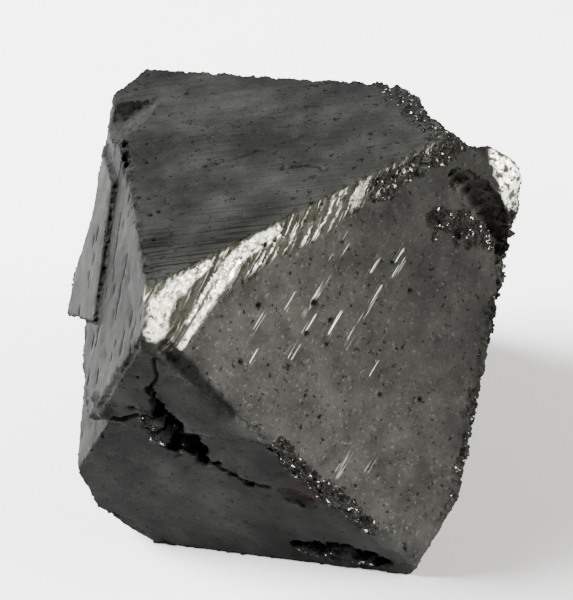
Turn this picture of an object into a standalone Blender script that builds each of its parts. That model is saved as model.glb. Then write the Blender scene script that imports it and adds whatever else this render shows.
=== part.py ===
"""Dark octahedral mineral specimen, one intergrown piece resting on one of its crystal faces.

The specimen is one large distorted octahedron. Its eight faces stand at their own distances from
its middle. Growth layers, a corner lobe, a knob and small parallel crystals are fused to it,
and breaks, a step, hollows and chips are cut from it. All lengths below are in millimetres.
"""

import itertools
import math
import random

import bmesh
import bpy
import numpy as np
from mathutils import Matrix, Vector

MM = 0.001
WELD = 0.001
PARALLEL = 1e-4
REACH = 60.0
UPRIGHT = (Vector((1, 0, 0)), Vector((0, 1, 0)), Vector((0, 0, 1)))

# Crystal geometry: one axis of the octahedron is a little longer than the other two.
AXIS_RATIO = 1.13
FRONT_AXIS_AZIMUTH = math.radians(-116.5)

# Each face: which end of the three axes it closes, and its distance from the middle.
FACES = {
    "front_right": ((1, 1, -1), 14.3),
    "top": ((1, 1, 1), 14.9),
    "left": ((1, -1, 1), 16.2),
    "front_left": ((1, -1, -1), 17.4),
    "back_right": ((-1, 1, -1), 14.8),
    "back": ((-1, 1, 1), 15.1),
    "back_left": ((-1, -1, 1), 13.9),
    "base": ((-1, -1, -1), 17.5),
}

# Worn planes beside the front corner, each through three places: a face, along it and up it.
WORN = {
    "near": (("front_right", -17.0, 6.6), ("front_right", -8.2, 9.2), ("top", -9.8, -16.9)),
    "far": (("front_right", -8.2, 9.3), ("front_right", 10.2, 10.1), ("top", 1.6, -9.7)),
    "under": (("front_right", -16.6, 6.4), ("front_right", -13.6, -1.2), ("front_left", -0.7, 15.4)),
}

# Direction in which the large breaks run through the crystal: back and down.
BREAK_RUN = Vector((0, 0.8177, -0.5757))

# Outline points of the large breaks, from the crystal's middle.
LEFT_BREAK = ((-16.75, -6.8, 6.68), (-19.77, -6.8, -7.82), (-18.99, -6.8, -12.62), (-15.83, -6.8, -16.54))
TOP_LEFT_BREAK = ((-8.22, 16.43, 14.9), (-11.21, 13.32, 14.9), (-12.57, 8.0, 13.98))
RIGHT_BREAK = ((12.2, 6.6, 14.9), (13.8, 3.6, 14.9), (14.05, 0.5, 14.9), (16.8, -4.8, 14.9))
FOOT_BREAK = ((10.8, -15.2, -12.3), (5.8, -19.3, -16.1))
LOBE_OUTLINE = (
    (16.94, -2.5, 13.42), (18.55, -2.5, 13.06), (20.19, -2.5, 11.52), (20.78, -2.5, 10.11),
    (20.76, -2.5, 9.13), (20.16, -2.5, 6.77), (19.45, -2.5, 4.93),
)

# Growth layers: how far each stands out of or behind the face it belongs to.
LEFT_STEP_HEIGHT = 0.8
LEFT_INSET = 1.5
SLAB_THICKNESS = 0.45
BAND_THICKNESS = 0.3
BACK_LAYER = 0.5
BACK_RIGHT_LAYER = 0.4
HIDDEN_DEPTH = 2.0

# The slab on the left face: its outline, its lower end and the crack it stops at, along and up.
SLAB_OUTLINE = ((-14.4, 6.7), (-10.2, -1.0), (-6.7, -8.0))
SLAB_END = ((-5.4, -8.6), (3.6, -3.0))
SLAB_CRACK = ((-0.9, 3.8), (4.6, -2.2))
SLAB_TOP = (-6.0, 6.0)
SLAB_INNER_X = -11.0
BAND_EDGE = ((-9.0, 6.3), (4.5, -1.4))

# The rounded knob under the left face, and its half sizes out, along and up.
KNOB_CENTRE = Vector((-15.8, -12.1, 1.9))
KNOB_RADII = (1.1, 1.7, 1.2)

# The lobe: a place on each of its facets and the way the facet looks.
LOBE_FACETS = (
    ((19.4, -3.1, 10.0), (0.45, -0.62, 0.64)),
    ((19.2, -3.9, 7.6), (0.50, -0.85, 0.10)),
    ((17.4, -3.0, 10.6), (-0.72, -0.62, 0.30)),
    ((17.6, -2.6, 12.9), (-0.15, -0.45, 0.88)),
    ((18.6, 1.6, 9.0), (-0.20, 0.95, 0.20)),
    ((18.0, -1.0, 4.2), (0.0, -0.30, -0.95)),
    ((15.6, -1.0, 9.0), (-1.0, 0.0, 0.0)),
)
LOBE_MIDDLE = Vector((18.8, -2.0, 9.0))
RIDGE_BESIDE_LOBE = Vector((15.6, -2.0, 11.9))
RIDGE_BESIDE_LOBE_RADII = (1.6, 2.0, 1.3)

# Room in which each large break is cut, from its low to its high corner.
RIGHT_ROOM = ((8, -15, 0), (32, 30, 24))
TIP_ROOM = ((8, -15, 3), (32, 30, 24))
TIP_BREAK = ((18.4, -2.5, 12.0), (19.1, -2.5, 5.0), (17.4, 3.0, 9.0))
FOOT_ROOM = ((0, -32, -19), (24, -4, -9))
TOP_LEFT_ROOM = ((-30, 6, 3), (-2, 30, 22))
NOTCH = (
    (-13.5, 12.2, 0.6), (-6.0, 11.5, 0.6), (-7.3, 8.8, 0.6), (-9.6, 6.6, 0.6), (-13.0, 5.6, 0.6),
    (-13.5, 11.6, -2.6), (-11.0, 11.2, -1.7), (-12.4, 7.0, -1.9),
)

# Ridges across the worn edge between the top and the front right face.
RIDGE_COUNT = 22
RIDGE_ANGLE = math.radians(33)
RIDGE_HEIGHT = 0.16
RIDGE_WIDTH = 0.32
RIDGE_TOP = 11.2

# Small crystals in rows on a face: the row's two ends along and up, and how many.
SMALL_CRYSTAL = 0.45
CRYSTAL_TILT = 0.12
CRYSTAL_FACES = (0.42, 0.62)
SCATTER = 0.25
FRONT_DRUSE = (
    ((-11.4, -4.6), (-9.9, -8.4), 14),
    ((-9.2, -9.9), (-7.8, -12.4), 14),
    ((-7.2, -13.1), (-6.2, -15.6), 8),
    ((5.0, 10.2), (12.0, 10.2), 12),
    ((8.6, 5.2), (11.2, 2.6), 14),
)
CORNER_DRUSE = (
    ((13.2, 4.2, 14.5), (14.2, -2.2, 14.3), 12),
    ((15.6, -2.6, 12.6), (17.4, -2.6, 12.2), 6),
)
CAVITY_DRUSE = (
    ((-4.9, 7.4, -0.2), (-3.6, 3.6, -0.3), 7),
    ((-2.6, 3.6, -1.6), (-1.6, 2.6, -1.4), 4),
    ((6.0, -11.4, -0.9), (8.2, -11.6, -1.2), 6),
)
CAVITY_CRYSTAL = 0.78

# Lumps that make two edges ragged: which edge, from where to where on it, and how many.
RAGGED_EDGES = (
    (("front_right", "back_right"), 0.15, 0.78, 17),
    (("back", "back_right"), 0.12, 0.88, 15),
)
LUMP = (0.6, 1.35)

# Chips on each edge: how many, their size, and from where to where on the edge.
CHIP = 0.5
CHIPPED_EDGES = {
    ("front_right", "back_right"): (18, 1.6, 0.12, 0.80),
    ("top", "back"): (16, 0.9, 0.15, 0.92),
    ("top", "left"): (20, 0.8, 0.08, 0.95),
    ("left", "back_left"): (10, 0.9, 0.1, 0.9),
    ("front_left", "base"): (9, 0.8, 0.1, 0.9),
    ("left", "front_left"): (6, 0.9, 0.2, 0.6),
    ("front_right", "front_left"): (10, 0.7, 0.08, 0.9),
    ("back", "back_right"): (14, 2.4, 0.1, 0.9),
    ("back", "back_left"): (10, 1.2, 0.1, 0.9),
    ("back_right", "base"): (10, 1.4, 0.1, 0.9),
    ("back_left", "base"): (10, 1.2, 0.1, 0.9),
}
LEFT_CHIPS = 12

# Pits in each face, and their radius from the smallest to the largest.
PITS = {"front_right": 13, "top": 9, "left": 12, "front_left": 9, "back": 7, "back_left": 6}
PIT_RADIUS = (0.15, 0.34)
LEFT_PIT_STRETCH = 3.0

# Unevenness of every chip and lump.
UNEVEN = 0.15
SEED = 17

# Hollows: along and up the face, then the two half widths.
CAVITY = (
    (-3.3, 10.7, 0.5, 0.9), (-3.3, 9.2, 0.8, 1.1), (-3.2, 7.7, 1.1, 1.3), (-3.1, 6.0, 1.5, 1.5),
    (-2.5, 4.4, 1.8, 1.5), (-2.0, 2.9, 1.5, 1.4), (-1.7, 1.4, 0.8, 1.2), (-3.9, 2.9, 1.1, 1.1),
)
CAVITY_DEPTH = 2.8
CRACKS = (
    (-7.2, 8.3, 0.7, 0.25), (-6.0, 8.1, 0.8, 0.25), (-4.7, 7.9, 0.8, 0.3), (-5.4, 5.4, 0.8, 0.25),
    (-4.3, 4.8, 0.7, 0.3), (-0.5, 0.8, 0.5, 0.35), (0.5, -0.6, 0.7, 0.3), (1.6, -1.9, 0.7, 0.3),
)
CRACK_DEPTH = 0.8
BASE_CAVITY = (
    (3.8, -10.4, 1.1, 0.6), (5.4, -10.5, 1.4, 1.0), (7.4, -10.4, 1.8, 1.5), (9.3, -11.0, 1.6, 1.3),
    (10.9, -11.8, 1.1, 0.9),
)
BASE_CAVITY_DEPTH = 2.2
GULLY = (
    (11.2, 8.1, 1.0, 0.9), (12.0, 7.2, 1.4, 1.3), (12.5, 5.9, 1.8, 1.5), (13.0, 4.6, 1.6, 1.5),
    (13.5, 3.2, 1.3, 1.4), (13.6, 1.8, 1.0, 1.2), (13.1, 0.7, 0.7, 0.9),
)
GULLY_DEPTH = 3.0
CREVICE = ((-10.7, 5.4, 0.35, 0.8), (-10.8, 3.8, 0.4, 0.9), (-10.7, 2.4, 0.3, 0.7))
CREVICE_DEPTH = 1.0
BACK_HOLLOW = ((2.0, -4.0, 1.6, 1.1), (3.6, -5.0, 1.2, 0.9))
BACK_LEFT_HOLLOW = ((-3.0, 2.0, 1.4, 0.9), (-1.2, 1.2, 1.1, 1.0))
BACK_HOLLOW_DEPTH = 1.6

STONE_COLOUR = (0.052, 0.054, 0.052, 1.0)
STONE_ROUGHNESS = 0.42
STONE_METALLIC = 0.35


def crystal_turn():
    """Rotation from the crystal's axes to the standing specimen, its top face level."""
    top = Vector((1, 1 / AXIS_RATIO, 1)).normalized()
    level = (Vector((1, 0, 0)) - top * top.x).normalized()
    stand = Matrix((level, top.cross(level), top))
    return Matrix.Rotation(FRONT_AXIS_AZIMUTH, 3, "Z") @ stand


TURN = crystal_turn()


def face_normal(face):
    ends = FACES[face][0]
    return (TURN @ Vector((ends[0], ends[1] / AXIS_RATIO, ends[2]))).normalized()


def face_frame(face):
    """The face's normal, its level direction and its uphill direction."""
    normal = face_normal(face)
    if abs(normal.z) > 0.99:
        return normal, Vector((1, 0, 0)), Vector((0, 1, 0))
    along = Vector((0, 0, 1)).cross(normal).normalized()
    return normal, along, normal.cross(along)


def on_face(face, along, up, out=0.0):
    """A point given by its level and uphill distances on a face, and its height above it."""
    normal, level, uphill = face_frame(face)
    return normal * (FACES[face][1] + out) + level * along + uphill * up


def octahedron_planes(**offsets):
    """The eight faces as planes, each moved out by its offset."""
    planes = []
    for face, (_, distance) in FACES.items():
        normal = face_normal(face)
        planes.append((normal * (distance + offsets.get(face, 0.0)), normal))
    return planes


def plane_through(first, second, third, inside=Vector((0, 0, 0))):
    """The plane of three points, its normal turned away from a point that stays inside."""
    normal = (second - first).cross(third - first).normalized()
    if normal.dot(first - inside) < 0:
        normal = -normal
    return first, normal


def worn_plane(name):
    return plane_through(*(on_face(*place) for place in WORN[name]))


def broken_planes(points, inside=Vector((0, 0, 0))):
    """The breaks that join neighbouring outline points, each running back and down."""
    points = [Vector(point) for point in points]
    pairs = zip(points[:-1], points[1:])
    return [plane_through(first, second, first + BREAK_RUN, inside) for first, second in pairs]


def new_object(name, mesh):
    obj = bpy.data.objects.new(name, mesh)
    bpy.context.scene.collection.objects.link(obj)
    material = bpy.data.materials.new(name)
    material.use_nodes = True
    shader = material.node_tree.nodes["Principled BSDF"]
    shader.inputs["Base Color"].default_value = STONE_COLOUR
    shader.inputs["Roughness"].default_value = STONE_ROUGHNESS
    shader.inputs["Metallic"].default_value = STONE_METALLIC
    mesh.materials.append(material)
    return obj


def mesh_from(name, bm):
    """Turns a bmesh in millimetres into a mesh in metres."""
    bmesh.ops.recalc_face_normals(bm, faces=bm.faces)
    if bm.calc_volume(signed=True) < 0:
        bmesh.ops.reverse_faces(bm, faces=bm.faces)
    bmesh.ops.scale(bm, vec=(MM, MM, MM), verts=bm.verts)
    mesh = bpy.data.meshes.new(name)
    bm.to_mesh(mesh)
    bm.free()
    return mesh


def hull_bmesh(points):
    """The convex solid around some points."""
    bm = bmesh.new()
    for point in points:
        bm.verts.new(point)
    bmesh.ops.remove_doubles(bm, verts=bm.verts, dist=WELD)
    bmesh.ops.convex_hull(bm, input=bm.verts)
    loose = [v for v in bm.verts if not v.link_faces]
    bmesh.ops.delete(bm, geom=loose, context="VERTS")
    return bm


def corners_of(planes):
    """The corners of the convex solid inside all the planes."""
    normals = np.array([normal for _, normal in planes])
    levels = np.array([normal.dot(point) for point, normal in planes])
    corners = []
    for trio in itertools.combinations(range(len(planes)), 3):
        rows = normals[list(trio)]
        if abs(np.linalg.det(rows)) < PARALLEL:
            continue
        corner = np.linalg.solve(rows, levels[list(trio)])
        if (normals @ corner <= levels + WELD).all():
            corners.append(Vector(corner))
    return corners


def convex_bmesh(planes):
    return hull_bmesh(corners_of(planes))


class Group:
    """Solids that one Boolean step adds to the specimen or takes from it."""

    def __init__(self, name):
        self.name = name
        self.collection = bpy.data.collections.new(name)
        bpy.context.scene.collection.children.link(self.collection)

    def add(self, bm):
        name = f"{self.name}_{len(self.collection.objects)}"
        obj = bpy.data.objects.new(name, mesh_from(name, bm))
        obj.hide_render = True
        obj.display_type = "WIRE"
        self.collection.objects.link(obj)

    def apply_to(self, obj, operation):
        modifier = obj.modifiers.new(self.name, "BOOLEAN")
        modifier.operation = operation
        modifier.operand_type = "COLLECTION"
        modifier.collection = self.collection
        modifier.solver = "MANIFOLD"


def rock(centre, radii, frame, rng, corners=12):
    """An irregular convex lump, its half sizes given along a frame's three directions."""
    golden = math.pi * (3 - math.sqrt(5))
    points = []
    for i in range(corners):
        height = 1 - 2 * (i + 0.5) / corners
        ring = math.sqrt(1 - height * height)
        turn = golden * i + rng.uniform(-0.5, 0.5)
        unit = Vector((ring * math.cos(turn), ring * math.sin(turn), height))
        unit *= rng.uniform(1 - UNEVEN, 1 + UNEVEN)
        points.append(centre + sum((frame[k] * unit[k] * radii[k] for k in range(3)), Vector()))
    return hull_bmesh(points)


def small_crystal(centre, size, rng):
    """A small octahedron, nearly parallel to the large one."""
    lean = Matrix.Rotation(rng.uniform(-CRYSTAL_TILT, CRYSTAL_TILT), 3, "X")
    lean = lean @ Matrix.Rotation(rng.uniform(-CRYSTAL_TILT, CRYSTAL_TILT), 3, "Y")
    planes = []
    for face in FACES:
        normal = lean @ face_normal(face)
        planes.append((centre + normal * size * rng.uniform(*CRYSTAL_FACES), normal))
    return convex_bmesh(planes)


def box_planes(low, high):
    """The six planes of an upright box."""
    planes = []
    for axis in range(3):
        for corner, sign in ((low, -1), (high, 1)):
            normal = Vector((0, 0, 0))
            normal[axis] = sign
            planes.append((Vector(corner), normal))
    return planes


def lerp(start, end, share):
    return start + (end - start) * share


def edge_ends(face, other):
    """The two ends of the edge that two faces share, as the plain octahedron has them."""
    shared = []
    for corner in corners_of(octahedron_planes()):
        gaps = [corner.dot(face_normal(f)) - FACES[f][1] for f in (face, other)]
        if max(abs(gap) for gap in gaps) < 10 * WELD:
            shared.append(corner)
    far = max(shared, key=lambda corner: (corner - shared[0]).length)
    return shared[0], far


def body():
    """The octahedron with its worn front edges and its broken left corner."""
    planes = octahedron_planes()
    planes += [worn_plane(name) for name in WORN]
    planes += broken_planes(LEFT_BREAK)
    return convex_bmesh(planes)


def behind(face, depth):
    """The plane that closes a layer at some depth behind its face."""
    return on_face(face, 0, 0, -depth), -face_normal(face)


def across_face(face, ends, lean, depth, inside):
    """A plane across a face through two places on it, leaning by a vector at some depth."""
    first, second = (on_face(face, *end) for end in ends)
    deep = on_face(face, *ends[0], -depth) + Vector(lean)
    return plane_through(first, second, deep, inside=on_face(face, *inside))


def left_step(group):
    """What is missing outside the set-back lower part of the left face."""
    ceiling = (Vector((0, 0, LEFT_STEP_HEIGHT)), Vector((0, -0.05, 1)).normalized())
    room = box_planes((-REACH, -REACH, -REACH), (0, REACH, REACH))
    group.add(convex_bmesh(room + [behind("left", LEFT_INSET), ceiling]))


def left_slab(group):
    """The outer slab on the left face."""
    planes = octahedron_planes(left=SLAB_THICKNESS, back_left=0.3, top=-0.7, base=-9.0)
    outline = [on_face("left", *place) for place in SLAB_OUTLINE]
    planes += broken_planes(outline, inside=on_face("left", 0, 0))
    planes.append(across_face("left", SLAB_CRACK, (0, 0.5, 0), 4.0, inside=(-8.0, -2.0)))
    planes.append(across_face("left", SLAB_END, (0, 0, 1.2), 4.0, inside=(-8.0, 2.0)))
    planes.append((on_face("left", *SLAB_TOP), Vector((0.1, 0.12, 1)).normalized()))
    planes.append((Vector((SLAB_INNER_X, 0, 0)), Vector((1, 0, 0))))
    group.add(convex_bmesh(planes))


def front_band(group):
    """The band that stands out along the front left face, above the lower block."""
    planes = octahedron_planes(front_left=BAND_THICKNESS, front_right=-0.5, left=-0.4)
    planes += [worn_plane("under"), worn_plane("near"), behind("front_left", HIDDEN_DEPTH)]
    planes.append(across_face("front_left", BAND_EDGE, (0, 0, 0.6), 3.0, inside=(0.0, 12.0)))
    planes.append((Vector((0, 0, LEFT_STEP_HEIGHT)), Vector((0, 0.05, -1)).normalized()))
    group.add(convex_bmesh(planes))


def knob(group, rng):
    """The rounded knob that overhangs the lower left block."""
    group.add(rock(KNOB_CENTRE, KNOB_RADII, face_frame("left"), rng, corners=40))


def back_layers(group):
    """Parallel layers on the two right faces turned to the back."""
    planes = octahedron_planes(back=BACK_LAYER, top=-0.5, back_right=-0.5)
    planes.append((on_face("back", 0, 2.0), Vector((0.25, 0.3, -1)).normalized()))
    planes.append((on_face("back", 6.0, 0), Vector((1.0, 0.15, 0.35)).normalized()))
    group.add(convex_bmesh(planes + [behind("back", HIDDEN_DEPTH)]))

    planes = octahedron_planes(back_right=BACK_RIGHT_LAYER, base=-1.6, front_right=-1.2, back=-1.0)
    planes.append((on_face("back_right", 0, 3.0), Vector((0.2, 0.55, 1)).normalized()))
    group.add(convex_bmesh(planes + [behind("back_right", HIDDEN_DEPTH)]))


def corner_lobe(group, rng):
    """The lobe left standing where the right corner broke away, and the ridge beside it."""
    planes = [(Vector(place), Vector(normal).normalized()) for place, normal in LOBE_FACETS]
    group.add(convex_bmesh(planes + broken_planes(LOBE_OUTLINE, inside=LOBE_MIDDLE)))
    frame = face_frame("front_right")
    group.add(rock(RIDGE_BESIDE_LOBE, RIDGE_BESIDE_LOBE_RADII, frame, rng, corners=18))


def worn_ridges(group, rng):
    """Low slanting ridges that cross the worn edge between the top and the front right face."""
    _, along, uphill = face_frame("front_right")
    slant = along * math.cos(RIDGE_ANGLE) + uphill * math.sin(RIDGE_ANGLE)
    split = WORN["near"][1][1]
    for i in range(RIDGE_COUNT):
        share = i / (RIDGE_COUNT - 1)
        low = on_face("front_right", -15.6 + 17.0 * share, 7.0 + 3.0 * min(1.0, 1.5 * share))
        origin, normal = worn_plane("near" if low.dot(along) < split else "far")
        run = (slant - normal * slant.dot(normal)).normalized()
        across = normal.cross(run) * RIDGE_WIDTH * rng.uniform(0.7, 1.3)
        foot = low - normal * (low - origin).dot(normal)
        length = (RIDGE_TOP - low.dot(uphill)) / math.sin(RIDGE_ANGLE) * rng.uniform(0.5, 0.9)
        centre = foot + run * length * rng.uniform(0.45, 0.7)
        add_ridge(group, centre, run * length * 0.5, across, normal, rng)


def add_ridge(group, centre, half_run, half_across, normal, rng):
    """A roof-shaped ridge with sloping ends."""
    sunk = normal * RIDGE_HEIGHT
    crest = normal * RIDGE_HEIGHT * rng.uniform(0.7, 1.4)
    points = [centre + half_run * 0.7 + crest, centre - half_run * 0.7 + crest]
    for end, side in itertools.product((-1, 1), (-1, 1)):
        points.append(centre + half_run * end + half_across * side - sunk)
    group.add(hull_bmesh(points))


def sprinkle(group, start, end, count, size, rng):
    """Small crystals scattered along a line."""
    for _ in range(count):
        centre = lerp(start, end, rng.random())
        centre += Vector([rng.gauss(0, SCATTER) for _ in range(3)])
        group.add(small_crystal(centre, size * rng.uniform(0.7, 1.7), rng))


def druse(group, rng):
    """Clusters of small crystals on the front edge, the worn edge, the corner and the cavities."""
    for start, end, count in FRONT_DRUSE:
        ends = (on_face("front_right", *place, -0.15) for place in (start, end))
        sprinkle(group, *ends, count, SMALL_CRYSTAL, rng)
    for start, end, count in CORNER_DRUSE:
        sprinkle(group, Vector(start), Vector(end), count, SMALL_CRYSTAL, rng)
    for start, end, count in CAVITY_DRUSE:
        ends = (on_face("front_left", *place) for place in (start, end))
        sprinkle(group, *ends, count, CAVITY_CRYSTAL, rng)


def worn_edge_lumps(group, rng):
    """Irregular lumps that make the right and back edges ragged."""
    frame = face_frame("back_right")
    for pair, first, last, count in RAGGED_EDGES:
        start, end = edge_ends(*pair)
        inward = -(face_normal(pair[0]) + face_normal(pair[1])).normalized()
        for i in range(count):
            centre = lerp(start, end, first + (last - first) * (i + rng.random()) / count)
            radii = [rng.uniform(*LUMP) for _ in range(3)]
            centre += inward * 0.75 * max(radii)
            group.add(rock(centre, radii, frame, rng, corners=11))


def chain(group, face, stations, depth, rng):
    """A run of overlapping hollows on a face, each station its place and its two half widths."""
    normal, along, uphill = face_frame(face)
    for place_along, place_up, half_along, half_up in stations:
        centre = on_face(face, place_along, place_up, -0.1 * depth)
        radii = (half_along, half_up, depth * rng.uniform(0.8, 1.1))
        group.add(rock(centre, radii, (along, uphill, normal), rng, corners=14))


def hollows(group, rng):
    """The cavities, the gully beside the lobe and the dished scar."""
    chain(group, "front_left", CAVITY, CAVITY_DEPTH, rng)
    chain(group, "front_left", CRACKS, CRACK_DEPTH, rng)
    chain(group, "front_left", BASE_CAVITY, BASE_CAVITY_DEPTH, rng)
    chain(group, "front_right", GULLY, GULLY_DEPTH, rng)
    chain(group, "top", CREVICE, CREVICE_DEPTH, rng)
    chain(group, "back", BACK_HOLLOW, BACK_HOLLOW_DEPTH, rng)
    chain(group, "back_left", BACK_LEFT_HOLLOW, BACK_HOLLOW_DEPTH, rng)
    dish(group)


def dish(group):
    """The smooth shell-shaped scar beside the lower end of the front edge."""
    normal, along, uphill = face_frame("front_left")
    long_way = (along * 0.78 - uphill * 0.62).normalized()
    short_way = normal.cross(long_way)
    centre = on_face("front_left", 5.6, -3.1, 0.75)
    bm = bmesh.new()
    bmesh.ops.create_icosphere(bm, subdivisions=2, radius=1.0)
    for vert in bm.verts:
        unit = vert.co.copy()
        vert.co = centre + long_way * unit.x * 2.5 + short_way * unit.y * 1.6 + normal * unit.z * 1.2
    group.add(bm)


def breaks(group):
    """The large breaks: the right corner, its foot, and the notch in the top's left corner."""
    upper, wall, shelf = broken_planes(RIGHT_BREAK, inside=Vector((30, 10, 30)))
    group.add(convex_bmesh(box_planes(*RIGHT_ROOM) + [upper]))
    group.add(convex_bmesh(box_planes(*RIGHT_ROOM) + [wall, shelf]))
    tip = plane_through(*(Vector(place) for place in TIP_BREAK), inside=Vector(TIP_ROOM[1]))
    group.add(convex_bmesh(box_planes(*TIP_ROOM) + [tip]))
    foot = broken_planes(FOOT_BREAK, inside=Vector((20, -25, -16)))
    group.add(convex_bmesh(box_planes(*FOOT_ROOM) + foot))
    for corner in broken_planes(TOP_LEFT_BREAK, inside=Vector((-30, 12, 30))):
        group.add(convex_bmesh(box_planes(*TOP_LEFT_ROOM) + [corner]))
    level = Vector((0, 0, FACES["top"][1]))
    group.add(hull_bmesh([level + Vector(place) for place in NOTCH]))


def chips(group, rng):
    """Small chips broken from the edges."""
    for (face, other), (count, size, first, last) in CHIPPED_EDGES.items():
        start, end = edge_ends(face, other)
        outward = (face_normal(face) + face_normal(other)).normalized()
        for i in range(count):
            share = first + (last - first) * (i + rng.random()) / count
            radius = CHIP * size * rng.uniform(0.6, 1.6)
            centre = lerp(start, end, share) + outward * radius * rng.uniform(0.0, 0.5)
            radii = [radius * rng.uniform(0.8, 1.5) for _ in range(3)]
            group.add(rock(centre, radii, UPRIGHT, rng, corners=9))


def left_corner_chips(group, rng):
    """The crumbled break at the foot of the left corner."""
    high, low = Vector(LEFT_BREAK[-2]), Vector(LEFT_BREAK[-1])
    for i in range(LEFT_CHIPS):
        centre = lerp(high, low, (i + rng.random()) / LEFT_CHIPS) + BREAK_RUN * rng.uniform(-4, 5)
        radii = [CHIP * rng.uniform(0.9, 1.9) for _ in range(3)]
        group.add(rock(centre, radii, UPRIGHT, rng, corners=10))


def pits(group, rng):
    """Small pits in the faces, drawn out along the left face."""
    for face, count in PITS.items():
        normal, along, uphill = face_frame(face)
        for _ in range(count):
            centre = on_face(face, rng.uniform(-8, 8), rng.uniform(-5, 7), 0.05)
            stretch = LEFT_PIT_STRETCH if face == "left" else 1.3
            radius = rng.uniform(*PIT_RADIUS)
            radii = (radius * stretch, radius, radius * 1.2)
            group.add(rock(centre, radii, (along, uphill, normal), rng, corners=8))


def rest_flat(group):
    """Everything below the base face is taken away, so that the specimen rests flat."""
    level = -FACES["base"][1]
    group.add(convex_bmesh(box_planes((-REACH, -REACH, level - 10), (REACH, REACH, level))))


def shells_of(bm):
    """The vertices of each connected surface."""
    shells = []
    left = set(bm.verts)
    while left:
        shell = set()
        front = {left.pop()}
        while front:
            shell |= front
            front = {e.other_vert(v) for v in front for e in v.link_edges} - shell
        left -= shell
        shells.append(shell)
    return shells


def fuse(obj, groups):
    """Runs the Boolean steps and keeps the outer surface, standing on the origin."""
    bm = bmesh.new()
    bm.from_object(obj, bpy.context.evaluated_depsgraph_get())
    shells = sorted(shells_of(bm), key=len)
    for shell in shells[:-1]:
        bmesh.ops.delete(bm, geom=list(shell), context="VERTS")
    low = [min(v.co[axis] for v in bm.verts) for axis in range(3)]
    high = [max(v.co[axis] for v in bm.verts) for axis in range(3)]
    foot = Vector(((low[0] + high[0]) / 2, (low[1] + high[1]) / 2, low[2]))
    bmesh.ops.translate(bm, vec=-foot, verts=bm.verts)
    obj.modifiers.clear()
    bm.to_mesh(obj.data)
    bm.free()
    for group in groups:
        for helper in list(group.collection.objects):
            bpy.data.objects.remove(helper, do_unlink=True)
        bpy.data.collections.remove(group.collection)


def build_crystal():
    rng = random.Random(SEED)
    crystal = new_object("crystal", mesh_from("crystal", body()))

    step = Group("step")
    left_step(step)
    step.apply_to(crystal, "DIFFERENCE")

    layers = Group("layers")
    left_slab(layers)
    front_band(layers)
    back_layers(layers)
    knob(layers, rng)
    worn_edge_lumps(layers, rng)
    layers.apply_to(crystal, "UNION")

    broken = Group("broken")
    breaks(broken)
    broken.apply_to(crystal, "DIFFERENCE")

    added = Group("added")
    corner_lobe(added, rng)
    worn_ridges(added, rng)
    added.apply_to(crystal, "UNION")

    hollow = Group("hollow")
    hollows(hollow, rng)
    chips(hollow, rng)
    left_corner_chips(hollow, rng)
    pits(hollow, rng)
    hollow.apply_to(crystal, "DIFFERENCE")

    sparkle = Group("sparkle")
    druse(sparkle, rng)
    sparkle.apply_to(crystal, "UNION")

    rest = Group("rest")
    rest_flat(rest)
    rest.apply_to(crystal, "DIFFERENCE")
    fuse(crystal, [step, layers, broken, added, hollow, sparkle, rest])


def main():
    for obj in list(bpy.data.objects):
        bpy.data.objects.remove(obj, do_unlink=True)
    build_crystal()


main()
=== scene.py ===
"""Finished surface, light and camera for the dark octahedral mineral specimen.

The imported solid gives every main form. The surface piece made here follows it closely and adds
the fine relief: granular worn edges, fractured breaks, growth lines, grooves, pits and cracks.
Small grains are scattered over the granular places. The relief works in millimetres from the
crystal's middle, the material in millimetres from the frame's origin, and a name that ends in
_M holds metres.
"""

import itertools
import math

import bmesh
import bpy
import numpy as np
from mathutils import Matrix, Vector


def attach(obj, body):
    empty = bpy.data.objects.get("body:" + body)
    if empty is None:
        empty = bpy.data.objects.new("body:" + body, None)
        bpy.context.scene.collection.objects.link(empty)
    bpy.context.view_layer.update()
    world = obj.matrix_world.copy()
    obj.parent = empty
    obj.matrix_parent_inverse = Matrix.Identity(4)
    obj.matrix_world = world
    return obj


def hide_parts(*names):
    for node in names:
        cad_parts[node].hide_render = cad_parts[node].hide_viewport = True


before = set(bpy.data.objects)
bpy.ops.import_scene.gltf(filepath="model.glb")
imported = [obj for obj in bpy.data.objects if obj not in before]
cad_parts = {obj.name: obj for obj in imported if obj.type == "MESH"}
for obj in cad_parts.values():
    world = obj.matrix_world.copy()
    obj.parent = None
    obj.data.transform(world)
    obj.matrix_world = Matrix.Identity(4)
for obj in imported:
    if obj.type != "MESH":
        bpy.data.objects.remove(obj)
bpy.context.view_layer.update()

# Place and pose of the crystal, as in the solid.
MM = 0.001
MIDDLE = Vector((-0.494, 1.089, 17.5))
AXIS_RATIO = 1.13
FRONT_AXIS_AZIMUTH = math.radians(-116.5)
FACES = {
    "front_right": ((1, 1, -1), 14.3),
    "top": ((1, 1, 1), 14.9),
    "left": ((1, -1, 1), 16.2),
    "front_left": ((1, -1, -1), 17.4),
    "back_right": ((-1, 1, -1), 14.8),
    "back": ((-1, 1, 1), 15.1),
    "back_left": ((-1, -1, 1), 13.9),
    "base": ((-1, -1, -1), 17.5),
}
LAYERS = {
    "left": (0.0, -1.5, 0.45),
    "front_left": (0.0, 0.3),
    "back": (0.0, 0.5),
    "back_right": (0.0, 0.4),
}

# Surface mesh. A vertex that lies this near a face, and faces its way, is moved onto it.
VOXEL = 0.155
SURFACE_TRIANGLES = 196000
SHARP_ANGLE = math.radians(38)
SNAP_GAP = (0.22, 0.14)
SNAP_FACING = (0.975, 0.99)
SNAP_FROM = 0.3

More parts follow.
